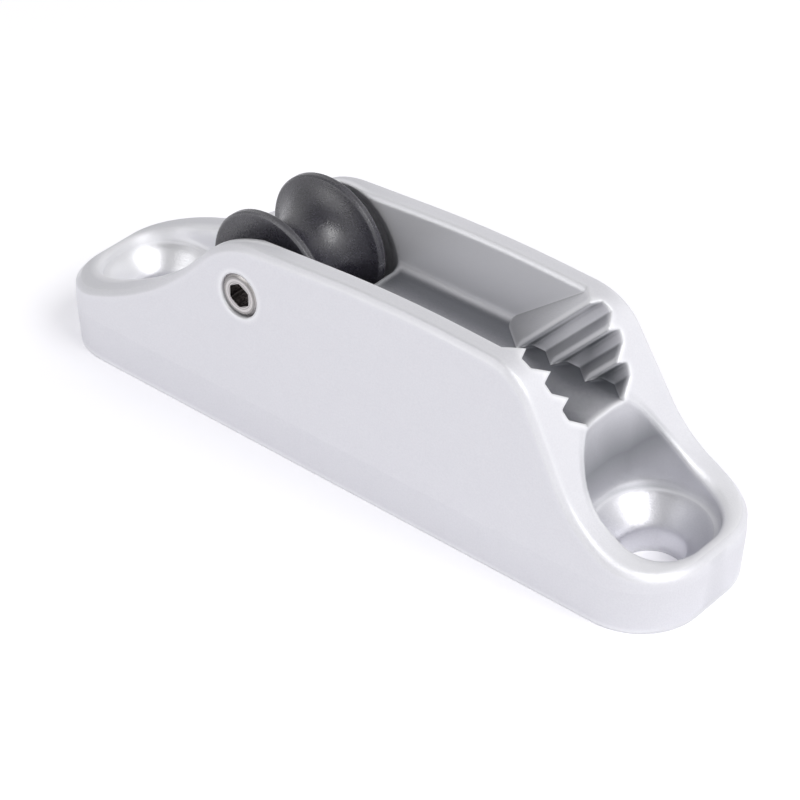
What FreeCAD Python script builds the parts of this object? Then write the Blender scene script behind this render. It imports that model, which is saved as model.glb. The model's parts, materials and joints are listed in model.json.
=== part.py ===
import FreeCAD, Part
import math
import os
import Sketcher

# Jam cleat with a fairlead roller, in millimetres.
# +X runs along the length towards the toothed jaws, the rope pulls back towards
# the roller at -X, +Z is up, and the origin is the centre of the flat base.

doc = FreeCAD.newDocument("JamCleat")
sheet = doc.addObject("Spreadsheet::Sheet", "Sizes")


class Size:
    """A length or angle that carries its value and the expression it comes from."""

    def __init__(self, value, text):
        self.value = float(value)
        self.text = text

    def _join(self, sign, other, value):
        other_text = other.text if isinstance(other, Size) else repr(float(other))
        return Size(value, "(" + self.text + " " + sign + " " + other_text + ")")

    def __add__(self, other):
        return self._join("+", other, self.value + float(other))

    def __sub__(self, other):
        return self._join("-", other, self.value - float(other))

    def __mul__(self, other):
        return self._join("*", other, self.value * float(other))

    def __truediv__(self, other):
        return self._join("/", other, self.value / float(other))

    def __neg__(self):
        return self * -1

    def __float__(self):
        return self.value


def tangent(angle):
    return Size(math.tan(math.radians(angle.value)), "tan(" + angle.text + " * 1 deg)")


sheet_row = [1]


def size(alias, value, note):
    """Put one driving dimension in the sheet and return it."""
    row = str(sheet_row[0])
    sheet_row[0] += 1
    sheet.set("A" + row, alias)
    sheet.set("B" + row, str(value))
    sheet.set("C" + row, note)
    sheet.setAlias("B" + row, alias)
    return Size(value, "Sizes." + alias)


# Outline of the casting
overall_length = size("overall_length", 66.2, "length at the parting line")
overall_width = size("overall_width", 16.2, "width at the parting line")
end_radius = size("end_radius", 6.0, "plan radius of the four corners")
parting_height = size("parting_height", 4.2, "parting line above the base")
wall_draft = size("wall_draft", 3.4, "draft of the side walls, degrees")
skirt_draft = size("skirt_draft", 3.0, "draft below the parting line, degrees")

# Side profile of the wall tops
end_rim_height = size("end_rim_height", 5.6, "rim height at both ends")
sweep_inset = size("sweep_inset", 2.4, "foot of the long rise at the roller end, inwards of the screw hole")
sweep_radius = size("sweep_radius", 28.0, "hollow radius of the long rise")
shoulder_inset = size("shoulder_inset", 14.7, "shoulder beside the roller, inwards of the screw hole")
shoulder_drop = size("shoulder_drop", 1.38, "that shoulder below the crown")
shoulder_radius = size("shoulder_radius", 8.7, "round of that shoulder")
crown_place = size("crown_place", 5.0, "crown of the wall tops, from the middle")
crown_height = size("crown_height", 19.98, "height where the two top slopes meet")
crown_flatness = size("crown_flatness", 9.09, "crown radius over the run from the crown to the brow")
brow_inset = size("brow_inset", 3.3, "brow above the jaws, inwards of the well")
brow_drop = size("brow_drop", 0.48, "brow below the crown")
brow_radius = size("brow_radius", 5.2, "round of the brow")
fall_inset = size("fall_inset", 0.75, "foot of the steep fall, inwards of the screw hole")
fall_radius = size("fall_radius", 10.9, "hollow radius of the steep fall")

# Rope channel and jaws
wall_thickness = size("wall_thickness", 3.0, "side wall beside the channel, at the parting line")
channel_floor = size("channel_floor", 13.2, "floor of the rope channel above the base")
channel_round = size("channel_round", 1.0, "round where the channel walls meet the floor")
jaw_gap = size("jaw_gap", 4.7, "gap between opposite crests at the floor")
jaw_cover = size("jaw_cover", 0.18, "metal outside the jaw roots at the height of the crown")
tooth_lean = size("tooth_lean", 46.5, "lean of the crests above the floor, degrees")
tooth_count = 4
tooth_pitch = size("tooth_pitch", 3.457, "crest to crest along the floor")
tooth_depth = size("tooth_depth", 1.25, "depth of the hollows")
tooth_back = size("tooth_back", 0.64, "run of the steep face behind a crest")
tooth_root = size("tooth_root", 1.32, "run of the flat root")
tooth_hollow = size("tooth_hollow", 0.35, "round at the bottom of the hollows")
jaw_end_land = size("jaw_end_land", 0.22, "last crest to the edge of the well")
jaw_seat = size("jaw_seat", 0.05, "how far the jaw roots run into the walls")

# Wells, bowls and screw holes at the two ends
hole_inset = size("hole_inset", 6.2, "centre of a screw hole from the end of the casting")
hole_diameter = size("hole_diameter", 5.5, "screw hole, free fit for a 5 mm screw")
seat_angle = size("seat_angle", 90, "countersink that seats the screw head, degrees")
jaw_seat_height = size("jaw_seat_height", 2.6, "foot of the countersink beyond the jaws, above the base")
roller_seat_height = size("roller_seat_height", 3.4, "foot of the countersink at the roller end, above the base")
well_flare = size("well_flare", 0.2, "well beyond the jaws wider than the channel, each side")
well_reach = size("well_reach", 5.4, "inner end of that well from the screw hole")
well_end_wall = size("well_end_wall", 1.3, "wells to the outer end of the casting")
well_end_flat = size("well_end_flat", 0.7, "half the flat at the ends of the wells, between their rounds")
jaw_well_floor = size("jaw_well_floor", 4.6, "floor of the well beyond the jaws, above the base")
roller_well_floor = size("roller_well_floor", 5.2, "floor of the well at the roller end, above the base")
well_round = size("well_round", 0.4, "round where the well walls meet the floor")
ramp_inset = size("ramp_inset", 4.0, "foot of the ramp up to the roller, inwards of the screw hole")
ramp_drop = size("ramp_drop", 3.0, "ramp below the rim at the shoulder slope")

# Roller and its pin
pin_reach = size("pin_reach", 16.56, "pin inwards of the screw hole at the roller end")
pin_height = size("pin_height", 14.0, "pin above the base")
pin_diameter = size("pin_diameter", 4.0, "stainless pin")
pin_inset = size("pin_inset", 0.05, "pin ends below the wall faces")
pin_bevel = size("pin_bevel", 0.3, "bevel round the pin ends")
socket_width = size("socket_width", 2.0, "hexagon socket across its flats")
socket_depth = size("socket_depth", 2.4, "depth of the hexagon socket")
roller_diameter = size("roller_diameter", 12.0, "roller over its rims")
roller_waist = size("roller_waist", 7.0, "roller at the bottom of the groove")
roller_rim = size("roller_rim", 0.75, "thickness of each rim")
roller_edge = size("roller_edge", 0.15, "bevel on the edges of the rims")
roller_side_gap = size("roller_side_gap", 1.0, "roller rim to the channel wall")
pocket_radius = size("pocket_radius", 6.8, "round pocket below and beside the roller")
pocket_drop = size("pocket_drop", 1.3, "centre of the pocket below the pin")
pocket_back = size("pocket_back", 0.26, "centre of the pocket behind the pin")
recess_depth = size("recess_depth", 0.9, "dished recess in each wall beside the roller")
recess_floor = size("recess_floor", 5.2, "radius of the flat floor of the recess")
hub_diameter = size("hub_diameter", 6.0, "hub that keeps the roller off the walls")
hub_side_gap = size("hub_side_gap", 0.1, "hub to the floor of the wall recess")
running_gap = size("running_gap", 0.05, "radial play of the roller on the pin")

# Edges
rim_edge = size("rim_edge", 0.45, "bevel on the outer edge of the rim")
lip_edge = size("lip_edge", 0.3, "bevel or round on the inner edges of the rim")
lip_start = size("lip_start", 1.4, "inner edge of the well that stays sharp next to the jaws")

doc.recompute()


def check(feature):
    """Recompute, and stop if the feature failed."""
    doc.recompute()
    if "Invalid" in feature.State or "Error" in feature.State:
        raise RuntimeError(feature.Label + " failed: " + ", ".join(feature.State))
    return feature


def origin_plane(body, role):
    for plane in body.Origin.OriginFeatures:
        if plane.Role == role:
            return plane
    raise RuntimeError("no plane " + role)


def new_sketch(body, name, role, across=None, lift=None):
    """A sketch on one of the body's own origin planes, moved by bound offsets."""
    sketch = body.newObject("Sketcher::SketchObject", name)
    sketch.AttachmentSupport = [(origin_plane(body, role), "")]
    sketch.MapMode = "FlatFace"
    if across is not None:
        sketch.setExpression(".AttachmentOffset.Base.x", across.text)
    if lift is not None:
        sketch.setExpression(".AttachmentOffset.Base.z", lift.text)
    return sketch


def bind(sketch, constraint, wanted):
    """Add a constraint whose value follows the sheet."""
    number = sketch.addConstraint(constraint)
    sketch.setExpression("Constraints[" + str(number) + "]", wanted.text)


def hold(sketch, item, spot, x, y):
    """Hold a point at x and y from the sheet; a plain 0 puts it on that axis."""
    for kind, wanted, axis in (("DistanceX", x, -2), ("DistanceY", y, -1)):
        if isinstance(wanted, Size):
            bind(sketch, Sketcher.Constraint(kind, -1, 1, item, spot, float(wanted)), wanted)
        else:
            sketch.addConstraint(Sketcher.Constraint("PointOnObject", item, spot, axis))


def closed_outline(sketch, corners):
    """Straight sides between corners (x, y, radius or None), rounded where asked.

    Every corner is a construction point held by the sheet; the sides run through
    the points and the rounds are tangent to the sides."""
    count = len(corners)
    spots = [(float(x), float(y)) for x, y, radius in corners]
    ends = []
    arcs = {}
    for i in range(count):
        here, before, after = spots[i], spots[i - 1], spots[(i + 1) % count]
        radius = corners[i][2]
        if radius is None:
            ends.append((here, here))
            continue
        inward = [(before[k] - here[k]) for k in (0, 1)]
        onward = [(after[k] - here[k]) for k in (0, 1)]
        inward = [v / math.hypot(*inward) for v in inward]
        onward = [v / math.hypot(*onward) for v in onward]
        half = 0.5 * math.acos(max(-1.0, min(1.0, inward[0] * onward[0] + inward[1] * onward[1])))
        reach = float(radius) / math.tan(half)
        first = tuple(here[k] + inward[k] * reach for k in (0, 1))
        last = tuple(here[k] + onward[k] * reach for k in (0, 1))
        middle = [inward[k] + onward[k] for k in (0, 1)]
        middle = [v / math.hypot(*middle) for v in middle]
        depth = float(radius) / math.sin(half)
        centre = tuple(here[k] + middle[k] * depth for k in (0, 1))
        top = tuple(centre[k] - middle[k] * float(radius) for k in (0, 1))
        ends.append((first, last))
        arcs[i] = (first, top, last)

    def vector(spot):
        return FreeCAD.Vector(spot[0], spot[1], 0)

    lines = []
    for i in range(count):
        start, stop = ends[i][1], ends[(i + 1) % count][0]
        lines.append(sketch.addGeometry(Part.LineSegment(vector(start), vector(stop)), False))
    for i in range(count):
        x, y, radius = corners[i]
        before = lines[i - 1]
        after = lines[i]
        if radius is None:
            sketch.addConstraint(Sketcher.Constraint("Coincident", before, 2, after, 1))
            hold(sketch, after, 1, x, y)
            continue
        point = sketch.addGeometry(Part.Point(vector(spots[i])), True)
        hold(sketch, point, 1, x, y)
        sketch.addConstraint(Sketcher.Constraint("PointOnObject", point, 1, before))
        sketch.addConstraint(Sketcher.Constraint("PointOnObject", point, 1, after))
        first, top, last = arcs[i]
        arc = sketch.addGeometry(Part.Arc(vector(first), vector(top), vector(last)), False)
        turn = ((top[0] - first[0]) * (last[1] - first[1])
                - (top[1] - first[1]) * (last[0] - first[0]))
        near, far = (1, 2) if turn > 0 else (2, 1)
        sketch.addConstraint(Sketcher.Constraint("Tangent", before, 2, arc, near))
        sketch.addConstraint(Sketcher.Constraint("Tangent", arc, far, after, 1))
        bind(sketch, Sketcher.Constraint("Radius", arc, float(radius)), radius)
    check(sketch)
    return sketch


def disc(sketch, x, y, radius):
    """A circle held by the sheet."""
    ring = sketch.addGeometry(Part.Circle(FreeCAD.Vector(float(x), float(y), 0),
                                          FreeCAD.Vector(0, 0, 1), float(radius)), False)
    hold(sketch, ring, 3, x, y)
    bind(sketch, Sketcher.Constraint("Radius", ring, float(radius)), radius)
    check(sketch)


def block(x_low, x_high, half_width, radius=None):
    """Four corners of a plan outline that is symmetric about the X axis."""
    return [(x_low, -half_width, radius), (x_high, -half_width, radius),
            (x_high, half_width, radius), (x_low, half_width, radius)]


def pocket(body, name, sketch, length, both=False, taper=None, flip=False):
    """Cut a sketch out of the body and make sure that it removed metal."""
    before = body.Tip.Shape.Volume
    cut = body.newObject("PartDesign::Pocket", name)
    cut.Profile = sketch
    cut.Type = "Length"
    if both:
        cut.SideType = "Symmetric"
    cut.Reversed = flip
    cut.setExpression("Length", length.text)
    if taper is not None:
        cut.setExpression("TaperAngle", taper.text)
    check(cut)
    if not body.Tip.Shape.Volume < before - 0.01:
        raise RuntimeError(name + " removed nothing")
    return cut


def turned_cut(body, name, sketch):
    """Turn a sketch about its own upright axis and take it out of the body."""
    before = body.Tip.Shape.Volume
    cut = body.newObject("PartDesign::Groove", name)
    cut.Profile = sketch
    cut.ReferenceAxis = (sketch, ["V_Axis"])
    cut.Angle = 360
    check(cut)
    if not body.Tip.Shape.Volume < before - 0.01:
        raise RuntimeError(name + " removed nothing")
    return cut


def picked(body, name, chosen):
    """The tip and the names of those of its edges that the test picks out."""
    tip = body.Tip
    names = []
    for number, edge in enumerate(tip.Shape.Edges, 1):
        if chosen(edge):
            names.append("Edge" + str(number))
    if not names:
        raise RuntimeError(name + " found no edge")
    return tip, names


def fillet(body, name, radius, chosen):
    """Round the edges of the tip that the test picks out."""
    tip, names = picked(body, name, chosen)
    rounded = body.newObject("PartDesign::Fillet", name)
    rounded.Base = (tip, names)
    rounded.setExpression("Radius", radius.text)
    return check(rounded)


def chamfer(body, name, width, chosen):
    """Bevel the edges of the tip that the test picks out."""
    tip, names = picked(body, name, chosen)
    bevel = body.newObject("PartDesign::Chamfer", name)
    bevel.Base = (tip, names)
    bevel.setExpression("Size", width.text)
    return check(bevel)


def mirrored(body, name, feature, role):
    copy = body.newObject("PartDesign::Mirrored", name)
    copy.Originals = [feature]
    copy.MirrorPlane = (origin_plane(body, role), [""])
    body.Tip = copy
    return check(copy)


def new_body(label):
    body = doc.addObject("PartDesign::Body", label)
    body.Label = label
    return body


half_length = overall_length / 2
half_width = overall_width / 2
channel_half = half_width - wall_thickness
hole_place = half_length - hole_inset
well_back = hole_place - well_reach
ramp_foot = hole_place - ramp_inset
sweep_foot = hole_place - sweep_inset
fall_foot = hole_place - fall_inset
brow_place = well_back - brow_inset
crown_radius = (brow_place - crown_place) * crown_flatness
shoulder_place = hole_place - shoulder_inset
pin_place = hole_place - pin_reach
well_corner = channel_half - well_end_flat
shoulder_height = crown_height - shoulder_drop
brow_height = crown_height - brow_drop
sky = crown_height + parting_height

# Casting: both draft angles leave from the parting line
cleat = new_body("cleat_body")
plan = new_sketch(cleat, "PartingOutline", "XY_Plane", lift=parting_height)
closed_outline(plan, block(-half_length, half_length, half_width, end_radius))
casting = cleat.newObject("PartDesign::Pad", "Casting")
casting.Profile = plan
casting.SideType = "Two sides"
casting.Type = "Length"
casting.setExpression("Length", (crown_height - parting_height).text)
casting.setExpression("Length2", parting_height.text)
casting.setExpression("TaperAngle", (-wall_draft).text)
casting.setExpression("TaperAngle2", (-skirt_draft).text)
check(casting)

# Rope channel, from the ramp at the roller end to the well beyond the jaws
channel = new_sketch(cleat, "ChannelPlan", "XY_Plane", lift=channel_floor)
channel_end = well_back + jaw_end_land
closed_outline(channel, block(-pin_place, channel_end, channel_half))
pocket(cleat, "RopeChannel", channel, crown_height - channel_floor, flip=True)


def on_channel_floor(edge):
    box = edge.BoundBox
    return (abs(box.ZMin - channel_floor.value) < 0.01 and box.ZLength < 0.01
            and box.XLength > channel_half.value and abs(abs(box.YMin) - channel_half.value) < 0.05)


fillet(cleat, "ChannelRounds", channel_round, on_channel_floor)

# Jaws: a saw-toothed outline on the channel floor, pushed up along the crests
crest_y = jaw_gap / 2
root_y = crest_y + tooth_depth
seat_y = channel_half + jaw_seat
tooth_front = tooth_pitch - tooth_back - tooth_root
last_crest = well_back - jaw_end_land
first_crest = last_crest - tooth_pitch * (tooth_count - 1)
ramp_run = (seat_y - crest_y) * tooth_front / tooth_depth
saw = [(first_crest - ramp_run, seat_y, None), (first_crest, crest_y, None)]
for step in range(tooth_count - 1):
    crest = first_crest + tooth_pitch * step
    saw.append((crest + tooth_back, root_y, tooth_hollow))
    saw.append((crest + tooth_back + tooth_root, root_y, tooth_hollow))
    saw.append((crest + tooth_pitch, crest_y, None))
saw.append((channel_end, crest_y, None))
saw.append((channel_end, seat_y, None))
jaw_plan = new_sketch(cleat, "JawPlan", "XY_Plane", lift=channel_floor)
closed_outline(jaw_plan, saw)
jaw = cleat.newObject("PartDesign::Pad", "Jaw")
jaw.Profile = jaw_plan
jaw.Type = "Length"
jaw.UseCustomVector = True
jaw.AlongSketchNormal = True
crest_run = Size(1.0, "1.0") / tangent(tooth_lean)
wall_lean = (crown_height - parting_height) * tangent(wall_draft)
jaw_splay = (half_width - wall_lean - jaw_cover - seat_y) / (crown_height - channel_floor)
jaw.Direction = FreeCAD.Vector(crest_run.value, jaw_splay.value, 1)
jaw.setExpression("Direction.x", crest_run.text)
jaw.setExpression("Direction.y", jaw_splay.text)
jaw.setExpression("Length", (crown_height - channel_floor).text)
check(jaw)
mirrored(cleat, "OtherJaw", jaw, "XZ_Plane")

# Well beyond the jaws
well_half = channel_half + well_flare
well_end = half_length - well_end_wall
jaw_well = new_sketch(cleat, "JawWellPlan", "XY_Plane", lift=jaw_well_floor)
closed_outline(jaw_well, block(well_back, well_end, well_half, well_corner))
pocket(cleat, "JawWell", jaw_well, crown_height, flip=True)


def well_floor_edge(floor, sign):
    def test(edge):
        box = edge.BoundBox
        return (abs(box.ZMin - floor.value) < 0.01 and box.ZLength < 0.01
                and box.Center.x * sign > well_back.value - 1)
    return test


fillet(cleat, "JawWellRound", well_round, well_floor_edge(jaw_well_floor, 1))

# Well at the roller end and the ramp that climbs from it to the roller
roller_well = new_sketch(cleat, "RollerWellPlan", "XY_Plane", lift=roller_well_floor)
closed_outline(roller_well, [
    (-well_end, -channel_half, well_corner), (-ramp_foot, -channel_half, None),
    (-ramp_foot, channel_half, None), (-well_end, channel_half, well_corner)])
pocket(cleat, "RollerWell", roller_well, crown_height, flip=True)
ramp = new_sketch(cleat, "RampProfile", "XZ_Plane")
ramp_top = shoulder_height - ramp_drop
closed_outline(ramp, [(-ramp_foot, roller_well_floor, None), (-shoulder_place, ramp_top, None),
                      (-shoulder_place, sky, None), (-ramp_foot, sky, None)])
pocket(cleat, "Ramp", ramp, channel_half * 2, both=True)

# Round pocket below the roller
roller_radius = roller_diameter / 2
pocket_x = -(pin_place + pocket_back)
pocket_z = pin_height - pocket_drop
roller_pocket = new_sketch(cleat, "RollerPocketRound", "XZ_Plane")
disc(roller_pocket, pocket_x, pocket_z, pocket_radius)
pocket(cleat, "RollerPocket", roller_pocket, channel_half * 2, both=True)

# Wall tops: everything above the side profile goes
side = new_sketch(cleat, "SideProfile", "XZ_Plane")
beyond = half_length + end_radius
closed_outline(side, [
    (-beyond, end_rim_height, None), (-sweep_foot, end_rim_height, sweep_radius),
    (-shoulder_place, shoulder_height, shoulder_radius),
    (crown_place, crown_height, crown_radius), (brow_place, brow_height, brow_radius),
    (fall_foot, end_rim_height, fall_radius), (beyond, end_rim_height, None),
    (beyond, sky, None), (-beyond, sky, None)])
pocket(cleat, "WallTops", side, overall_width + end_radius, both=True)

# Countersunk screw hole at each end
hole_radius = hole_diameter / 2


def screw_hole(name, place, foot, floor):
    """A hole through the base that opens above its foot into a cone for the screw head."""
    seat = new_sketch(cleat, name + "Profile", "XZ_Plane", across=place)
    seat_radius = hole_radius + (floor - foot) * tangent(seat_angle / 2)
    closed_outline(seat, [(0, -parting_height, None), (hole_radius, -parting_height, None),
                          (hole_radius, foot, None), (seat_radius, floor, None),
                          (seat_radius, crown_height, None), (0, crown_height, None)])
    turned_cut(cleat, name, seat)


screw_hole("JawEndHole", hole_place, jaw_seat_height, jaw_well_floor)
screw_hole("RollerEndHole", -hole_place, roller_seat_height, roller_well_floor)


# Rounded rim: soft on the inside edges, fuller on the outside
def on_wall_top(edge):
    """True for an edge that lies in the surface cut by the side profile."""
    first, last = edge.FirstParameter, edge.LastParameter
    for share in (0.2, 0.5, 0.8):
        spot = edge.valueAt(first + share * (last - first))
        flat = Part.Vertex(FreeCAD.Vector(spot.x, 0, spot.z))
        if side.Shape.distToShape(flat)[0] > 0.01:
            return False
    return True


def inset(edge):
    """How far the middle of an edge lies inside the drafted outside face."""
    spot = edge.valueAt(0.5 * (edge.FirstParameter + edge.LastParameter))
    lean = (spot.z - parting_height.value) * math.tan(math.radians(wall_draft.value))
    corner_x = half_length.value - end_radius.value
    corner_y = half_width.value - end_radius.value
    if abs(spot.x) > corner_x and abs(spot.y) > corner_y:
        from_corner = math.hypot(abs(spot.x) - corner_x, abs(spot.y) - corner_y)
        return end_radius.value - lean - from_corner
    return min(half_width.value - abs(spot.y), half_length.value - abs(spot.x)) - lean


def roller_end_lip(edge):
    """Inner rim edges round the roller well; their round runs on along the channel."""
    return (on_wall_top(edge) and inset(edge) > rim_edge.value
            and edge.BoundBox.Center.x < -(pin_place + roller_radius).value)


def jaw_end_lip(edge):
    """Inner rim edges round the well beyond the jaws."""
    return (on_wall_top(edge) and inset(edge) > rim_edge.value
            and edge.BoundBox.Center.x > (well_back + jaw_end_land).value
            and edge.BoundBox.XMin > (well_back + lip_start).value)


def outer_rim(edge):
    return on_wall_top(edge) and inset(edge) < 0.05


chamfer(cleat, "LipBevel", lip_edge, roller_end_lip)
fillet(cleat, "WellLipRound", lip_edge, jaw_end_lip)
chamfer(cleat, "RimBevel", rim_edge, outer_rim)

# Dished recess in each wall, on the centre of the round pocket
recess_profile = new_sketch(cleat, "RecessProfile", "XY_Plane", across=pocket_x, lift=pocket_z)
closed_outline(recess_profile, [
    (0, channel_half, None), (pocket_radius, channel_half, None),
    (recess_floor, channel_half + recess_depth, None), (0, channel_half + recess_depth, None)])
recess = turned_cut(cleat, "WallRecess", recess_profile)
mirrored(cleat, "OtherWallRecess", recess, "XZ_Plane")

# Bore for the pin, through both walls
pin_radius = pin_diameter / 2
bore = new_sketch(cleat, "BoreRound", "XZ_Plane")
disc(bore, -pin_place, pin_height, pin_radius)
pocket(cleat, "PinBore", bore, overall_width, both=True)

# Roller: two thin rims with a round groove between them, turning on the pin
roller = new_body("roller")
roller_half = channel_half - roller_side_gap
hub_y = channel_half + recess_depth - hub_side_gap
bore_x = pin_radius + running_gap
hub_x = hub_diameter / 2
section = new_sketch(roller, "RollerSection", "XY_Plane")
upper = [(bore_x, hub_y), (hub_x, hub_y), (hub_x, roller_half), (roller_radius, roller_half)]
lower = [(x, -y) for x, y in reversed(upper)]
closed_outline(section, [(x, y, None) for x, y in upper + lower])
blank = roller.newObject("PartDesign::Revolution", "RollerBlank")
blank.Profile = section
blank.ReferenceAxis = (section, ["V_Axis"])
blank.Angle = 360
check(blank)
groove_half = roller_half - roller_rim
groove_depth = roller_radius - roller_waist / 2
groove_radius = (groove_half * groove_half + groove_depth * groove_depth) / (groove_depth * 2)
groove = new_sketch(roller, "GrooveRound", "XY_Plane")
disc(groove, roller_waist / 2 + groove_radius, 0, groove_radius)
turned_cut(roller, "RopeGroove", groove)


def on_rim(edge):
    return hasattr(edge.Curve, "Radius") and abs(edge.Curve.Radius - roller_radius.value) < 0.01


chamfer(roller, "RollerEdges", roller_edge, on_rim)

# Axle pin, just short of the wall faces, with a hexagon socket in its near end
pin = new_body("axle_pin")
wall_at_pin = half_width - (pin_height - parting_height) * tangent(wall_draft)
pin_end = wall_at_pin - pin_inset
rod_round = new_sketch(pin, "PinRound", "XZ_Plane")
disc(rod_round, 0, 0, pin_radius)
rod = pin.newObject("PartDesign::Pad", "Pin")
rod.Profile = rod_round
rod.Type = "Length"
rod.SideType = "Symmetric"
rod.setExpression("Length", (pin_end * 2).text)
check(rod)


def pin_rim(edge):
    return edge.BoundBox.YLength < 0.01


chamfer(pin, "PinBevels", pin_bevel, pin_rim)
hexagon = new_sketch(pin, "SocketHexagon", "XZ_Plane", lift=pin_end)
flat = socket_width / 2
corner = socket_width / Size(math.sqrt(3), "sqrt(3)")
closed_outline(hexagon, [(0, -corner, None), (flat, -corner / 2, None), (flat, corner / 2, None),
                         (0, corner, None), (-flat, corner / 2, None), (-flat, -corner / 2, None)])
pocket(pin, "Socket", hexagon, socket_depth)

# The roller and the pin are drawn about their own axis and placed on it
for body in (roller, pin):
    body.setExpression("Placement.Base.x", (-pin_place).text)
    body.setExpression("Placement.Base.z", pin_height.text)
doc.recompute()

for item in doc.Objects:
    if "Invalid" in item.State or "Error" in item.State:
        raise RuntimeError(item.Label + " failed")
bodies = (cleat, roller, pin)
for body in bodies:
    if body.Shape.isNull() or not body.Shape.isValid() or len(body.Shape.Solids) != 1:
        raise RuntimeError(body.Label + " is not one valid solid")

os.makedirs("parts", exist_ok=True)
for body in bodies:
    body.Shape.exportStep("parts/" + body.Label + ".step")
    box = body.Shape.BoundBox
    print(body.Label, round(body.Shape.Volume, 3), "mm3,", len(body.Shape.Faces), "faces,",
          [round(v, 3) for v in (box.XMin, box.XMax, box.YMin, box.YMax, box.ZMin, box.ZMax)])
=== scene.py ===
"""Looks of a small jam cleat: a cast alloy body, a black roller and its steel pin."""

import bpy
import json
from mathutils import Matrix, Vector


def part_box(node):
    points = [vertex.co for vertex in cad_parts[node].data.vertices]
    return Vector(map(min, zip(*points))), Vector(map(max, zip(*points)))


bl_info = {
    "name": "Jam Cleat Looks",
    "version": (1, 0, 0),
    "blender": (4, 5, 0),
    "location": "3D View > Sidebar > Jam Cleat",
    "description": "Finishes the packed jam cleat and sets up its studio",
    "category": "Object",
}

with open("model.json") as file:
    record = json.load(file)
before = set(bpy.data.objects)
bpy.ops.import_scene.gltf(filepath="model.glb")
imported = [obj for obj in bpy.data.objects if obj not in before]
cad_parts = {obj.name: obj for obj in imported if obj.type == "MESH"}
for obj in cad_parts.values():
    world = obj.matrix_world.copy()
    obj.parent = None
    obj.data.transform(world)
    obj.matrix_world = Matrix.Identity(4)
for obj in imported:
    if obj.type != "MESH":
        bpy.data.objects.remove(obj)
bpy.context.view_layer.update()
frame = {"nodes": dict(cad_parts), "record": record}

import json
import math
from collections import namedtuple

import bpy
from bpy.props import FloatProperty, FloatVectorProperty, PointerProperty
from mathutils import Matrix, Vector

MM = 0.001
UP = (0.0, 0.0, 1.0)
ACROSS = (0.0, 1.0, 0.0)

# Places, from the frame
PIN_LOW, PIN_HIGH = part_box("axle_pin")
PIN_CENTRE = (PIN_LOW + PIN_HIGH) / 2
SCREW_HOLES = next(mount for mount in frame["record"]["mounts"] if mount["kind"] == "bolt_pattern")
SCREW_APART = SCREW_HOLES["dims"]["spacing_x_mm"] * MM
SCREW_CENTRES = ((SCREW_APART / 2, 0.0, 0.0), (-SCREW_APART / 2, 0.0, 0.0))

# Places on the body, from the middle of its base
SEAT_RADIUS = 4.7 * MM
PARTING_HEIGHT = 4.2 * MM
# WELL_LINE and the four numbers after it shape the painted shade on the well's wall; WELL_LINE also sets
# what counts as low down.
WELL_LINE = 8.1 * MM
WELL_FLAT = 3.0 * MM
WELL_RISE = 0.85
WELL_BASE_TONE = 0.15
WELL_UPPER_TONE = 0.7
JAW_START = 15.5 * MM
RIM_START = 21.0 * MM
CROWN_SPAN = (-2.0 * MM, -14.0 * MM)
CHANNEL_SIDE = (6.2 * MM, 5.7 * MM)

# Masks along the part: where they are none, then full, in shares of where the jaws or the rim start
PAST_START = (1.0, 1.1)
BEFORE_JAWS = (1.1, 0.95)

# Masks up the part: where they are none, then full, in shares of the well line's height
LOW_DOWN = (1.0, 0.8)
UPPER_WELL = (1.5, 1.0)
LOWER_WELL = (0.45, 1.2)

# Masks round a screw hole: where they are none, then full, in seat radii
ROUND_SEAT = (1.7, 1.3)
UNSHADED_SEAT = (1.6, 1.35)
BOWL_SHEEN = (1.35, 1.1)
BESIDE_SEAT = (1.05, 1.2)
WELL_EDGE = (1.34, 1.28)

# Masks by how far a face looks up: where they are none, then full
FLAT_TOP = (0.85, 0.99)
LEANING_TOP = (0.5, 0.9)
UPRIGHT_WALL = (0.8, 0.5)
WELL_WALL = (0.8, 0.3)
SHADED_SLOPE = (0.25, 0.90)

# Masks by a noise or by how open a point lies: where they are none, then full
GRAIN_SPAN = (0.35, 0.65)
SPECK_SPAN = (0.45, 0.70)
RING_SPAN = (0.42, 0.58)
CORNER_SPAN = (0.97, 0.60)
DEEP_SPAN = (0.55, 0.10)
SHELTER_SPAN = (1.0, 0.75)
JAW_DEPTH = (0.30, 0.60)

# Studio
BRIGHT_DIRECTION = Vector((0.75, 0.55, 0.36)).normalized()
SIDE_SPAN = (-0.7, 0.9)
OVERHEAD_SPAN = (0.45, 0.95)
FLOOR_HALF = 3.0
KEY_PLACE = (0.28, 0.0, 0.38)
KEY_SIZE = 0.25
FILL_PLACE = (-0.18, -0.38, 0.24)
FILL_SIZE = 0.30
SENSOR_WIDTH = 36.0
CLIP_START = 0.01

Spot = namedtuple("Spot", "along across height tilt")


def colour(name, about, default):
    """A colour that a user may change."""
    return FloatVectorProperty(name=name, description=about, default=default, size=3,
                               min=0.0, max=1.0, subtype="COLOR")


def share(name, about, default, top=1.0):
    """A plain number from 0 to top."""
    return FloatProperty(name=name, description=about, default=default, min=0.0, max=top)


def length(name, about, default):
    """A length in metres."""
    return FloatProperty(name=name, description=about, default=default, min=0.0,
                         subtype="DISTANCE", unit="LENGTH", precision=6)


def angle(name, about, default):
    """An angle, whose default is given in degrees."""
    return FloatProperty(name=name, description=about, default=math.radians(default),
                         subtype="ANGLE", unit="ROTATION")


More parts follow.
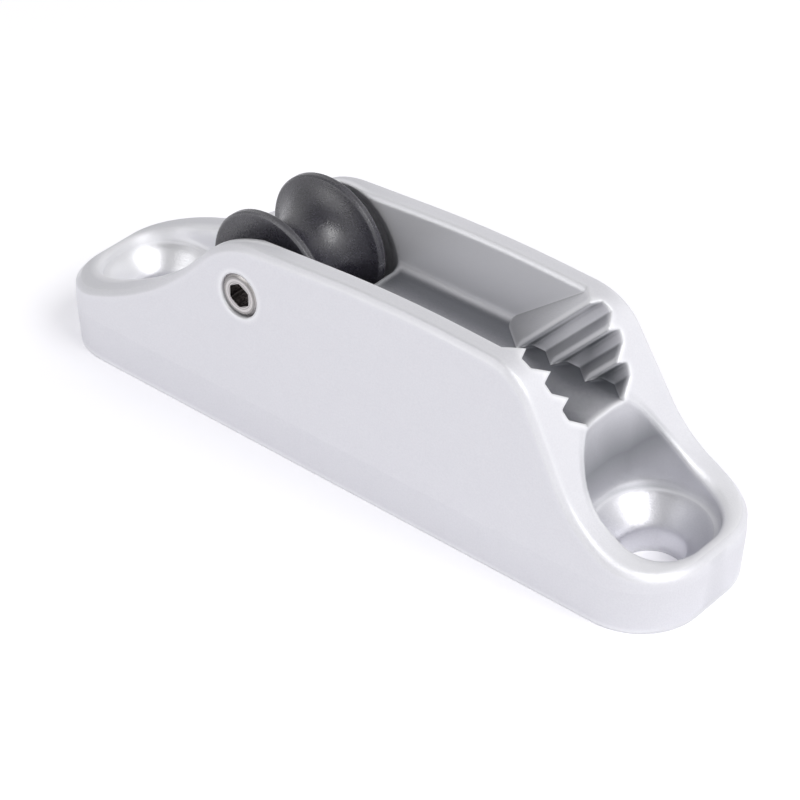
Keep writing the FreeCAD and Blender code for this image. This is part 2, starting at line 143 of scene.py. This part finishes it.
class CastAlloySettings(bpy.types.PropertyGroup):
    """Finish of the cast body."""
    metal: colour("Metal", "Colour of the blasted alloy", (0.715, 0.712, 0.755))
    # Rubbed: a paler alloy tone, used for real wear and random mottle, and also as painted light that
    # makes the jaw end's rim, the roller end's bowl, the channel's walls and the edges paler.
    rubbed_and_lit: colour("Rubbed", "Colour of the alloy where it is rubbed bright", (0.90, 0.90, 0.93))
    # Recess: the colour of painted shade deep in the jaws and wells, on the well's wall and on the
    # upward faces at the roller end.
    recess: colour("Recess", "Colour of the alloy deep in the jaws and wells", (0.20, 0.21, 0.23))
    # Dust: colour of painted shade on the channel's floor and other upward faces in hollows.
    floor_shade: colour("Dust", "Colour of the dust along the channel's floor", (0.10, 0.105, 0.12))
    skirt: colour("Skirt", "Colour of the alloy below the parting line", (0.70, 0.697, 0.74))
    # Rim: painted light, the flat tops at the jaw end, which lies nearer the key lamp, made paler.
    rim: share("Rim", "How brightly the flat rim at the jaw end is rubbed", 0.6)
    # Turned bowl: painted highlight, the bowl round the roller end's screw made paler in place of its
    # bright reflections.
    turned: share("Turned bowl", "How bright the bowl round the roller end's screw is", 0.8)
    # Polish: painted light, the channel's walls made paler.
    polish: share("Polish", "How bright the rope keeps the channel's walls", 0.95)
    # Crown: painted shade, the upward faces at the roller end, away from the key lamp, darkened.
    crown: share("Crown", "How dull the upward faces at the roller end are", 0.20)
    # Well: painted shade on the upright wall of the well below the jaws.
    well: share("Well", "How dull the skin is in the well below the jaws", 0.90)
    # Settled: how much painted shade the upward faces in hollows get.
    upward_shade: share("UpwardShade", "How much dust covers what faces up in a hollow", 0.9)
    # Most rub and Hidden rub limit the paler edges, which are partly real wear and partly a painted
    # highlight; that highlight is weaker deep in a recess, where shade falls.
    rub_top: share("Most rub", "How bright an edge can be rubbed at most", 0.85)
    rub_hidden: share("Hidden rub", "How much of the rub is missing deep in a recess", 0.15)
    roughness: share("Roughness", "Roughness of the blasted skin", 0.42)
    wander: share("Wander", "How far the roughness wanders over the skin", 0.12)
    seat_polish: share("Seat polish", "How much smoother the turned screw seats are", 0.10)
    metallic: share("Metallic", "How much of the skin answers light as bare metal", 0.50)
    seat_metal: share("Seat metal", "How much more of the turned screw seats does", 0.3)
    mottle: share("Mottle", "How much the skin's tone varies", 0.16)
    grain: length("Grain", "Size of the blasted grain", 0.16 * MM)
    grain_height: length("Grain height", "Height of the blasted grain", 0.018 * MM)
    patch: length("Patch", "Size of the slow patches of tone", 2.5 * MM)
    hollow: length("Hollow", "How far off a neighbour still shades a hollow", 6.0 * MM)
    edge: length("Soft edge", "Radius to which sharp edges are worn", 0.42 * MM)
    rub: length("Rub", "How far the bright rub reaches from an edge", 0.65 * MM)
    bowl: length("Bowl", "How much softer the edges round the screws are", 1.0 * MM)
    recess_soft: share("Soft recess", "Share of that softness that a recess has", 0.5)
    turning: length("Turning", "Pitch of the turning marks in the screw seats", 0.14 * MM)
    turning_height: length("Turning height", "Height of those marks", 0.002 * MM)


class RollerSettings(bpy.types.PropertyGroup):
    """Finish of the roller."""
    plastic: colour("Plastic", "Colour of the black plastic", (0.018, 0.017, 0.024))
    dust_and_shade: colour("Dusty", "Colour of the paler specks in the plastic", (0.055, 0.052, 0.070))
    worn: colour("Worn", "Colour of the plastic on its worn edges", (0.18, 0.18, 0.195))
    roughness: share("Roughness", "Roughness of the moulded skin", 0.28)
    wander: share("Wander", "How far the roughness wanders over the skin", 0.3)
    shine: share("Shine", "Strength of the plain reflection", 1.0)
    speck: length("Speck", "Size of the specks", 0.13 * MM)
    patch: length("Patch", "Size of the slow patches of roughness", 1.2 * MM)
    texture_height: length("Texture height", "Height of the moulded texture", 0.030 * MM)
    edge: length("Soft edge", "Radius to which sharp edges are worn", 0.1 * MM)
    rub: length("Rub", "How far the wear reaches from an edge", 0.3 * MM)


class PinSettings(bpy.types.PropertyGroup):
    """Finish of the steel pin."""
    steel: colour("Steel", "Colour of the turned steel", (0.50, 0.48, 0.475))
    # Socket: colour of painted shade deep in the socket, where neighbours close it in.
    socket: colour("Socket", "Colour deep in the socket", (0.45, 0.37, 0.33))
    roughness: share("Roughness", "Roughness of the turned end", 0.275)
    wander: share("Wander", "How far the roughness wanders over the end", 0.15)
    socket_dullness: share("Socket dullness", "How little the socket answers light as bare metal", 0.9)
    dark_ring: share("Dark ring", "Tone of the darkest turned rings", 0.55)
    bright_ring: share("Bright ring", "Tone of the brightest turned rings", 1.35, 2.0)
    turning: length("Turning", "Pitch of the turning marks", 0.30 * MM)
    turning_height: length("Turning height", "Height of the turning marks", 0.008 * MM)
    grain: length("Grain", "Size of the finest unevenness", 0.1 * MM)
    patch: length("Patch", "Size of the slow patches of roughness", 1.0 * MM)
    hollow: length("Hollow", "How far off a neighbour still shades the socket", 1.0 * MM)
    edge: length("Soft edge", "Radius to which sharp edges are worn", 0.06 * MM)
    rub: length("Rub", "How far the wear reaches from an edge", 0.1 * MM)


class StudioSettings(bpy.types.PropertyGroup):
    """Floor, light and camera."""
    floor: colour("Floor", "Colour of the floor", (0.83, 0.83, 0.83))
    floor_lift: colour("Floor lift", "Light that the floor shows by itself", (0.26, 0.255, 0.29))
    bright_side: share("Bright side", "Strength of the world beyond the jaws", 1.10, 4.0)
    dim_side: share("Dim side", "Strength of the world beyond the roller", 0.65, 4.0)
    overhead: share("Overhead", "How much of that strength is left straight overhead", 0.25)
    key: share("Key", "Power of the soft lamp beyond the jaws, in watts", 1.0, 100.0)
    fill: share("Fill", "Power of the large soft lamp in front, in watts", 0.40, 100.0)
    azimuth: angle("Azimuth", "Camera's turn about the upright", 40.339)
    elevation: angle("Elevation", "Camera's height above the horizon", 36.352)
    roll: angle("Roll", "Camera's tilt about its own axis", 0.165)
    distance: length("Distance", "Camera to the middle of the base", 249.0 * MM)
    aim_right: length("Aim right", "How far right of the base's middle the aim lies", 0.497 * MM)
    aim_up: length("Aim up", "How far above the base's middle the aim lies", 3.361 * MM)
    lens: FloatProperty(name="Lens", description="Focal length in millimetres", default=132.73)


def new_material(name):
    """A material with only a shader and its output: the material, its tree and the shader."""
    material = bpy.data.materials.new(name)
    material.use_nodes = True
    tree = material.node_tree
    tree.nodes.clear()
    output = tree.nodes.new("ShaderNodeOutputMaterial")
    shader = tree.nodes.new("ShaderNodeBsdfPrincipled")
    tree.links.new(shader.outputs["BSDF"], output.inputs["Surface"])
    return material, tree, shader


def feed(tree, socket, value):
    """Join the socket to the value if that is a socket, and otherwise set it."""
    if isinstance(value, bpy.types.NodeSocket):
        tree.links.new(value, socket)
    else:
        socket.default_value = value


def add(tree, kind, dimensions="3D", **inputs):
    """A node with its plain inputs set and its linked inputs joined."""
    node = tree.nodes.new(kind)
    if dimensions != "3D":
        node.noise_dimensions = dimensions
    for name, value in inputs.items():
        feed(tree, node.inputs[name.replace("_", " ")], value)
    return node


def maths(tree, operation, *values):
    """One operation on one, two or three values."""
    node = tree.nodes.new("ShaderNodeMath")
    node.operation = operation
    for socket, value in zip(node.inputs, values):
        feed(tree, socket, value)
    return node.outputs[0]


def vector_maths(tree, operation, *values, output="Vector"):
    """One operation on one or two vectors, which gives a Vector or a Value."""
    node = tree.nodes.new("ShaderNodeVectorMath")
    node.operation = operation
    for socket, value in zip(node.inputs, values):
        feed(tree, socket, value)
    return node.outputs[output]


def product(tree, first, *others):
    """All the values multiplied together."""
    for value in others:
        first = maths(tree, "MULTIPLY", first, value)
    return first


def without(tree, mask, amount=1.0):
    """1 less that amount of the mask."""
    return maths(tree, "MULTIPLY_ADD", mask, -amount, 1.0)


def ramp(tree, value, span, unit=1.0):
    """0 where the value is the span's first number, 1 where it is the second, straight between."""
    none, full = span
    return add(tree, "ShaderNodeMapRange", Value=value, From_Min=none * unit,
               From_Max=full * unit).outputs["Result"]


def blend_colours(tree, mask, first, second, amount=1.0):
    """From the first colour to the second by that amount of the mask."""
    node = tree.nodes.new("ShaderNodeMix")
    node.data_type = "RGBA"
    feed(tree, node.inputs[0], product(tree, mask, amount))
    for socket, value in ((node.inputs[6], first), (node.inputs[7], second)):
        feed(tree, socket, value if isinstance(value, bpy.types.NodeSocket) else (*value, 1.0))
    return node.outputs[2]


def bumped(tree, height, distance, normal):
    """The normal, roughened by the height."""
    return add(tree, "ShaderNodeBump", Distance=distance, Height=height, Normal=normal).outputs["Normal"]


def uneven_roughness(tree, patches, settings):
    """The roughness, which wanders with the slow patches."""
    lowest = settings.roughness - settings.wander / 2
    return maths(tree, "MULTIPLY_ADD", patches, settings.wander, lowest)


def upward_share(tree):
    """How far the face looks up: 1 for a flat top, 0 for an upright wall."""
    normal = add(tree, "ShaderNodeNewGeometry").outputs["Normal"]
    return add(tree, "ShaderNodeSeparateXYZ", Vector=normal).outputs["Z"]


def shaded_spot(tree):
    """Where the point is, along, across and up the part, and how far its face looks up."""
    place = add(tree, "ShaderNodeTexCoord").outputs["Object"]
    axes = add(tree, "ShaderNodeSeparateXYZ", Vector=place).outputs
    return Spot(axes["X"], axes["Y"], axes["Z"], upward_share(tree))


def new_group(name, inputs, outputs):
    """A shader group, its inputs and outputs given by name and type of socket."""
    group = bpy.data.node_groups.new(name, "ShaderNodeTree")
    for way, sockets in (("INPUT", inputs), ("OUTPUT", outputs)):
        for title, kind in sockets.items():
            group.interface.new_socket(title, in_out=way, socket_type="NodeSocket" + kind)
    return group, group.nodes.new("NodeGroupInput").outputs, group.nodes.new("NodeGroupOutput").inputs


def place_group(tree, group, **inputs):
    """The outputs of the group's node in the tree, which gets these inputs."""
    node = tree.nodes.new("ShaderNodeGroup")
    node.node_tree = group
    for name, value in inputs.items():
        feed(tree, node.inputs[name], value)
    return node.outputs


def skin_group():
    """Fine grain over a slow unevenness: a height and a mask, both from 0 to 1."""
    name = "blasted_skin"
    if name in bpy.data.node_groups:
        return bpy.data.node_groups[name]
    group, given, result = new_group(name, {"Grain": "Float", "Patch": "Float"},
                                     {"Height": "Float", "Patches": "Float"})
    place = add(group, "ShaderNodeTexCoord").outputs["Object"]
    fine = add(group, "ShaderNodeTexNoise", Vector=place, Detail=3.0, Roughness=0.6,
               Scale=maths(group, "DIVIDE", 1.0, given["Grain"]))
    slow = add(group, "ShaderNodeTexNoise", Vector=place, Detail=4.0, Roughness=0.55,
               Scale=maths(group, "DIVIDE", 1.0, given["Patch"]))
    feed(group, result["Height"], fine.outputs["Fac"])
    feed(group, result["Patches"], slow.outputs["Fac"])
    return group


def edge_group():
    """A normal softened over Radius, and a mask that rises to 1 where a corner stands out."""
    name = "rubbed_edge"
    if name in bpy.data.node_groups:
        return bpy.data.node_groups[name]
    group, given, result = new_group(name, {"Radius": "Float", "Rub": "Float"},
                                     {"Normal": "Vector", "Edge": "Float"})
    bevel = add(group, "ShaderNodeBevel", Radius=given["Radius"])
    bevel.samples = 6
    behind = add(group, "ShaderNodeAmbientOcclusion", Distance=given["Rub"])
    behind.samples = 8
    behind.inside = True
    behind.only_local = True
    feed(group, result["Normal"], bevel.outputs["Normal"])
    feed(group, result["Edge"], ramp(group, behind.outputs["AO"], CORNER_SPAN))
    return group


def recess_group():
    """How far neighbours close a point in, how deep that makes it, and how much painted shade an upward
    face in a hollow gets.
    """
    name = "recess_shade"
    if name in bpy.data.node_groups:
        return bpy.data.node_groups[name]
    group, given, result = new_group(name, {"Reach": "Float"},
                                     {"Depth": "Float", "Recess": "Float", "UpwardShade": "Float"})
    around = add(group, "ShaderNodeAmbientOcclusion", Distance=given["Reach"])
    around.samples = 12
    around.only_local = True
    open_share = around.outputs["AO"]
    deep = add(group, "ShaderNodeMapRange", Value=open_share, From_Min=DEEP_SPAN[0],
               From_Max=DEEP_SPAN[1])
    deep.interpolation_type = "SMOOTHSTEP"
    upward_shade = product(group, ramp(group, open_share, SHELTER_SPAN),
                      ramp(group, upward_share(group), SHADED_SLOPE))
    feed(group, result["Depth"], without(group, open_share))
    feed(group, result["Recess"], deep.outputs["Result"])
    feed(group, result["UpwardShade"], upward_shade)
    return group


def turning_group():
    """Uneven rings about an axis through Centre: their height, and the distance from the axis."""
    name = "turned_rings"
    if name in bpy.data.node_groups:
        return bpy.data.node_groups[name]
    group, given, result = new_group(name, {"Centre": "Vector", "Axis": "Vector", "Pitch": "Float"},
                                     {"Height": "Float", "Reach": "Float"})
    place = add(group, "ShaderNodeTexCoord").outputs["Object"]
    arm = vector_maths(group, "SUBTRACT", place, given["Centre"])
    across = vector_maths(group, "CROSS_PRODUCT", arm, given["Axis"])
    reach = vector_maths(group, "LENGTH", across, output="Value")
    uneven = add(group, "ShaderNodeTexNoise", "1D", Scale=1.0, Detail=3.0, Roughness=0.7,
                 W=maths(group, "DIVIDE", reach, given["Pitch"]))
    feed(group, result["Height"], ramp(group, uneven.outputs["Fac"], RING_SPAN))
    feed(group, result["Reach"], reach)
    return group


def lit_wall_mask(tree, spot):
    """Painted light: the walls of the channel, up to the jaws, where the rope runs, which get made
    paler.
    """
    return product(tree, ramp(tree, spot.along, BEFORE_JAWS, JAW_START),
                   ramp(tree, spot.tilt, UPRIGHT_WALL),
                   ramp(tree, maths(tree, "ABSOLUTE", spot.across), CHANNEL_SIDE))


def well_shade_mask(tree, spot, reach):
    """Painted shade on the upright wall of the well below the jaws, darkest about a line that rises
    sideways and lighter above and below it.
    """
    aside = maths(tree, "SUBTRACT", maths(tree, "ABSOLUTE", spot.across), WELL_FLAT)
    level = maths(tree, "MULTIPLY_ADD", maths(tree, "MAXIMUM", aside, 0.0), -WELL_RISE, spot.height)
    above = product(tree, maths(tree, "GREATER_THAN", level, WELL_LINE),
                    ramp(tree, level, UPPER_WELL, WELL_LINE))
    below = product(tree, maths(tree, "LESS_THAN", level, WELL_LINE),
                    ramp(tree, level, LOWER_WELL, WELL_LINE))
    upper = maths(tree, "MULTIPLY_ADD", above, WELL_UPPER_TONE, WELL_BASE_TONE)
    return product(tree, maths(tree, "ADD", upper, below), ramp(tree, spot.tilt, WELL_WALL),
                   ramp(tree, reach, WELL_EDGE, SEAT_RADIUS),
                   maths(tree, "GREATER_THAN", reach, SEAT_RADIUS))


def tone_with_painted_light(tree, settings, spot, skin, roller_reach):
    """The casting's colour, mottled, with painted light that makes the jaw end's flat rim, the roller
    end's bowl and the channel's walls paler, and painted shade that darkens the upward faces at the
    roller end.
    """
    above_parting = maths(tree, "GREATER_THAN", spot.height, PARTING_HEIGHT)
    tone = blend_colours(tree, above_parting, settings.skirt, settings.metal)
    mottle = maths(tree, "ADD", ramp(tree, skin["Height"], GRAIN_SPAN), skin["Patches"])
    tone = blend_colours(tree, mottle, tone, settings.rubbed_and_lit, settings.mottle)
    # Painted light: flat tops past the rim's start, at the jaw end, get the paler tone.
    rim = product(tree, ramp(tree, spot.tilt, FLAT_TOP),
                  ramp(tree, spot.along, PAST_START, RIM_START))
    tone = blend_colours(tree, rim, tone, settings.rubbed_and_lit, settings.rim)
    # Painted highlight: the bowl round the roller end's screw gets the paler tone.
    turned = ramp(tree, roller_reach, BOWL_SHEEN, SEAT_RADIUS)
    tone = blend_colours(tree, turned, tone, settings.rubbed_and_lit, settings.turned)
    # Painted shade: upward faces at the roller end are darkened towards the Recess colour, except in the
    # bowl.
    crown = product(tree, ramp(tree, spot.tilt, LEANING_TOP), ramp(tree, spot.along, CROWN_SPAN),
                    without(tree, turned))
    tone = blend_colours(tree, crown, tone, settings.recess, settings.crown)
    # Painted light: the channel's walls get the paler tone.
    return blend_colours(tree, lit_wall_mask(tree, spot), tone, settings.rubbed_and_lit, settings.polish)


def shaded_tone(tree, settings, tone, spot, recess, low, reach, jaw_reach):
    """That colour with painted shade: darker deep in the jaws, in recesses and on the well's wall, and
    darkest on what faces up in a hollow.
    """
    # Painted shade: deep in the jaws and in recesses the Recess colour stands in for shade, but not in
    # and right beside the screw seats.
    jaws = product(tree, ramp(tree, spot.along, PAST_START, JAW_START),
                   ramp(tree, recess["Depth"], JAW_DEPTH))
    shaded = product(tree, maths(tree, "MAXIMUM", recess["Recess"], jaws),
                   ramp(tree, reach, BESIDE_SEAT, SEAT_RADIUS))
    # Painted shade on the well's wall, darkest about a line that rises sideways.
    well = product(tree, well_shade_mask(tree, spot, jaw_reach), settings.well)
    tone = blend_colours(tree, maths(tree, "MAXIMUM", shaded, well), tone, settings.recess)
    # Painted shade: upward faces in a hollow are darkened, except in and round the screw seats low down.
    seat_unshaded = product(tree, low, ramp(tree, reach, UNSHADED_SEAT, SEAT_RADIUS))
    dust_and_shade = product(tree, recess["UpwardShade"], without(tree, seat_unshaded))
    return blend_colours(tree, dust_and_shade, tone, settings.floor_shade, settings.upward_shade)


def cast_alloy_material(settings):
    """Blasted alloy: fine grain, slow patches, edges made paler partly by wear and partly as a painted
    highlight, painted shade in recesses, turned screw seats.
    """
    material, tree, shader = new_material("cast_alloy")
    spot = shaded_spot(tree)
    skin = place_group(tree, skin_group(), Grain=settings.grain, Patch=settings.patch)
    recess = place_group(tree, recess_group(), Reach=settings.hollow)
    jaw_end, roller_end = (
        place_group(tree, turning_group(), Centre=centre, Axis=UP, Pitch=settings.turning)
        for centre in SCREW_CENTRES)
    reach = maths(tree, "MINIMUM", jaw_end["Reach"], roller_end["Reach"])
    seat = maths(tree, "LESS_THAN", reach, SEAT_RADIUS)
    low = ramp(tree, spot.height, LOW_DOWN, WELL_LINE)

    softer = maths(tree, "MAXIMUM", product(tree, low, ramp(tree, reach, ROUND_SEAT, SEAT_RADIUS)),
                   product(tree, recess["Recess"], settings.recess_soft))
    edge = place_group(tree, edge_group(), Rub=settings.rub,
                       Radius=maths(tree, "MULTIPLY_ADD", softer, settings.bowl, settings.edge))

    tone = tone_with_painted_light(tree, settings, spot, skin, roller_end["Reach"])
    tone = shaded_tone(tree, settings, tone, spot, recess, low, reach, jaw_end["Reach"])
    # Painted highlight, partly real wear: convex edges get the paler tone, less of it deep in recesses.
    rubbed_and_lit = product(tree, edge["Edge"], without(tree, recess["Recess"], settings.rub_hidden))
    rubbed_and_lit = maths(tree, "MINIMUM", rubbed_and_lit, settings.rub_top)
    feed(tree, shader.inputs["Base Color"], blend_colours(tree, rubbed_and_lit, tone, settings.rubbed_and_lit))

    feed(tree, shader.inputs["Roughness"],
         maths(tree, "MULTIPLY_ADD", seat, -settings.seat_polish,
               uneven_roughness(tree, skin["Patches"], settings)))
    feed(tree, shader.inputs["Metallic"],
         maths(tree, "MULTIPLY_ADD", seat, settings.seat_metal, settings.metallic))

    grain = bumped(tree, skin["Height"], settings.grain_height, edge["Normal"])
    cut = product(tree, maths(tree, "ADD", jaw_end["Height"], roller_end["Height"]), seat)
    feed(tree, shader.inputs["Normal"], bumped(tree, cut, settings.turning_height, grain))
    return material


def roller_material(settings):
    """Matte black plastic with a fine moulded texture and paler specks."""
    material, tree, shader = new_material("roller_plastic")
    skin = place_group(tree, skin_group(), Grain=settings.speck, Patch=settings.patch)
    edge = place_group(tree, edge_group(), Radius=settings.edge, Rub=settings.rub)
    specks = ramp(tree, skin["Height"], SPECK_SPAN)
    tone = blend_colours(tree, specks, settings.plastic, settings.dust_and_shade)
    feed(tree, shader.inputs["Base Color"], blend_colours(tree, edge["Edge"], tone, settings.worn))
    feed(tree, shader.inputs["Roughness"], uneven_roughness(tree, skin["Patches"], settings))
    feed(tree, shader.inputs["Normal"],
         bumped(tree, skin["Height"], settings.texture_height, edge["Normal"]))
    shader.inputs["Specular IOR Level"].default_value = settings.shine
    return material


def pin_material(settings):
    """Turned steel: rings about the pin's axis, a little unevenness, and painted shade that darkens the
    socket.
    """
    material, tree, shader = new_material("pin_steel")
    rings = place_group(tree, turning_group(), Centre=PIN_CENTRE, Axis=ACROSS, Pitch=settings.turning)
    skin = place_group(tree, skin_group(), Grain=settings.grain, Patch=settings.patch)
    edge = place_group(tree, edge_group(), Radius=settings.edge, Rub=settings.rub)
    recess = place_group(tree, recess_group(), Reach=settings.hollow)
    dark, bright = ([min(1.0, ring * part) for part in settings.steel]
                    for ring in (settings.dark_ring, settings.bright_ring))
    tone = blend_colours(tree, rings["Height"], dark, bright)
    # Painted shade: the socket is given the Socket colour where neighbours close it in.
    feed(tree, shader.inputs["Base Color"],
         blend_colours(tree, recess["Recess"], tone, settings.socket))
    feed(tree, shader.inputs["Roughness"], uneven_roughness(tree, skin["Patches"], settings))
    feed(tree, shader.inputs["Metallic"], without(tree, recess["Recess"], settings.socket_dullness))
    grain = bumped(tree, skin["Height"], settings.turning_height, edge["Normal"])
    feed(tree, shader.inputs["Normal"], bumped(tree, rings["Height"], settings.turning_height, grain))
    return material


def paint(node_name, material):
    """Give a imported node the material, in every slot that it has."""
    piece = frame["nodes"][node_name]
    if not piece.material_slots:
        piece.data.materials.append(material)
    for slot in piece.material_slots:
        slot.material = material


class CLEAT_OT_body(bpy.types.Operator):
    """Finish the cast body"""
    bl_idname = "jam_cleat.body"
    bl_label = "Cast body"

    def execute(self, context):
        paint("cleat_body", cast_alloy_material(context.scene.cleat_alloy))
        return {"FINISHED"}


class CLEAT_OT_roller(bpy.types.Operator):
    """Finish the roller"""
    bl_idname = "jam_cleat.roller"
    bl_label = "Roller"

    def execute(self, context):
        paint("roller", roller_material(context.scene.cleat_roller))
        return {"FINISHED"}


class CLEAT_OT_pin(bpy.types.Operator):
    """Finish the steel pin"""
    bl_idname = "jam_cleat.pin"
    bl_label = "Pin"

    def execute(self, context):
        paint("axle_pin", pin_material(context.scene.cleat_pin))
        return {"FINISHED"}


def floor_material(settings):
    """A pale floor that keeps the shadow and shows the camera a little light of its own."""
    material = bpy.data.materials.new("studio_floor")
    material.use_nodes = True
    tree = material.node_tree
    tree.nodes.clear()
    rays = add(tree, "ShaderNodeLightPath").outputs
    reflected = maths(tree, "MAXIMUM", rays["Is Glossy Ray"], rays["Is Transmission Ray"])
    seen = maths(tree, "MAXIMUM", rays["Is Camera Ray"], reflected)
    diffuse = add(tree, "ShaderNodeBsdfDiffuse", Color=(*settings.floor, 1.0))
    glow = add(tree, "ShaderNodeEmission", Color=(*settings.floor_lift, 1.0), Strength=seen)
    total = tree.nodes.new("ShaderNodeAddShader")
    for socket, part in zip(total.inputs, (diffuse, glow)):
        tree.links.new(part.outputs[0], socket)
    add(tree, "ShaderNodeOutputMaterial", Surface=total.outputs[0])
    return material


def studio_floor(settings):
    """A large flat square under the part."""
    mesh = bpy.data.meshes.new("studio_floor")
    corners = [(x * FLOOR_HALF, y * FLOOR_HALF, 0.0) for x, y in ((-1, -1), (1, -1), (1, 1), (-1, 1))]
    mesh.from_pydata(corners, [], [(0, 1, 2, 3)])
    mesh.materials.append(floor_material(settings))
    floor = bpy.data.objects.new("studio_floor", mesh)
    bpy.context.scene.collection.objects.link(floor)


def studio_world(settings):
    """Brightest low beyond the jaws, dimmer overhead, and white where the camera sees it."""
    world = bpy.data.worlds.new("studio")
    bpy.context.scene.world = world
    world.use_nodes = True
    tree = world.node_tree
    tree.nodes.clear()
    direction = add(tree, "ShaderNodeTexCoord").outputs["Generated"]
    towards = vector_maths(tree, "DOT_PRODUCT", direction, BRIGHT_DIRECTION, output="Value")
    level = add(tree, "ShaderNodeMapRange", Value=towards, From_Min=SIDE_SPAN[0], From_Max=SIDE_SPAN[1],
                To_Min=settings.dim_side, To_Max=settings.bright_side)
    rise = add(tree, "ShaderNodeSeparateXYZ", Vector=direction).outputs["Z"]
    overhead = add(tree, "ShaderNodeMapRange", Value=rise, From_Min=OVERHEAD_SPAN[0],
                   From_Max=OVERHEAD_SPAN[1], To_Min=1.0, To_Max=settings.overhead)
    pick = tree.nodes.new("ShaderNodeMix")
    feed(tree, pick.inputs[0], add(tree, "ShaderNodeLightPath").outputs["Is Camera Ray"])
    feed(tree, pick.inputs[2], product(tree, level.outputs["Result"], overhead.outputs["Result"]))
    feed(tree, pick.inputs[3], 1.0)
    light = add(tree, "ShaderNodeBackground", Color=(1.0, 1.0, 1.0, 1.0), Strength=pick.outputs[0])
    add(tree, "ShaderNodeOutputWorld", Surface=light.outputs[0])


def soft_lamp(name, place, size, power):
    """A square area lamp at place that shines at the middle of the base."""
    data = bpy.data.lights.new(name, "AREA")
    data.shape = "SQUARE"
    data.size = size
    data.energy = power
    lamp = bpy.data.objects.new(name, data)
    lamp.location = place
    lamp.rotation_euler = (-Vector(place)).to_track_quat("-Z", "Y").to_euler()
    bpy.context.scene.collection.objects.link(lamp)


def studio_camera(settings):
    """Camera at azimuth and elevation round the base, tilted by roll, aimed a little off its middle."""
    turn, rise, roll = settings.azimuth, settings.elevation, settings.roll
    back = Vector((math.sin(turn) * math.cos(rise), -math.cos(turn) * math.cos(rise), math.sin(rise)))
    side = Vector((math.cos(turn), math.sin(turn), 0.0))
    top = back.cross(side)
    right = side * math.cos(roll) + top * math.sin(roll)
    upright = top * math.cos(roll) - side * math.sin(roll)
    place = back * settings.distance + right * settings.aim_right + upright * settings.aim_up
    data = bpy.data.cameras.new("studio_camera")
    data.lens = settings.lens
    data.sensor_width = SENSOR_WIDTH
    data.clip_start = CLIP_START
    camera = bpy.data.objects.new("studio_camera", data)
    facing = Matrix((right, upright, back)).transposed().to_4x4()
    camera.matrix_world = Matrix.Translation(place) @ facing
    bpy.context.scene.collection.objects.link(camera)
    bpy.context.scene.camera = camera


class CLEAT_OT_studio(bpy.types.Operator):
    """Set up the floor, the light and the camera"""
    bl_idname = "jam_cleat.studio"
    bl_label = "Studio"

    def execute(self, context):
        settings = context.scene.cleat_studio
        studio_floor(settings)
        studio_world(settings)
        soft_lamp("key_lamp", KEY_PLACE, KEY_SIZE, settings.key)
        soft_lamp("fill_lamp", FILL_PLACE, FILL_SIZE, settings.fill)
        studio_camera(settings)
        context.scene.view_settings.view_transform = "Standard"
        return {"FINISHED"}


GROUPS = {"cleat_alloy": CastAlloySettings, "cleat_roller": RollerSettings,
          "cleat_pin": PinSettings, "cleat_studio": StudioSettings}
OPERATORS = (CLEAT_OT_body, CLEAT_OT_roller, CLEAT_OT_pin, CLEAT_OT_studio)


class CLEAT_PT_panel(bpy.types.Panel):
    """Sizes and colours of the jam cleat"""
    bl_label = "Jam Cleat"
    bl_idname = "CLEAT_PT_panel"
    bl_space_type = "VIEW_3D"
    bl_region_type = "UI"
    bl_category = "Jam Cleat"

    def draw(self, context):
        for operator, group in zip(OPERATORS, GROUPS):
            box = self.layout.box()
            settings = getattr(context.scene, group)
            for name in settings.__annotations__:
                box.prop(settings, name)
            box.operator(operator.bl_idname)


def register():
    for kind in (*GROUPS.values(), *OPERATORS, CLEAT_PT_panel):
        bpy.utils.register_class(kind)
    for name, kind in GROUPS.items():
        setattr(bpy.types.Scene, name, PointerProperty(type=kind))


def unregister():
    for name in GROUPS:
        delattr(bpy.types.Scene, name)
    for kind in reversed((*GROUPS.values(), *OPERATORS, CLEAT_PT_panel)):
        bpy.utils.unregister_class(kind)


def main():
    register()
    for operator in OPERATORS:
        group, name = operator.bl_idname.split(".")
        getattr(getattr(bpy.ops, group), name)()


if __name__ == "__main__":
    main()
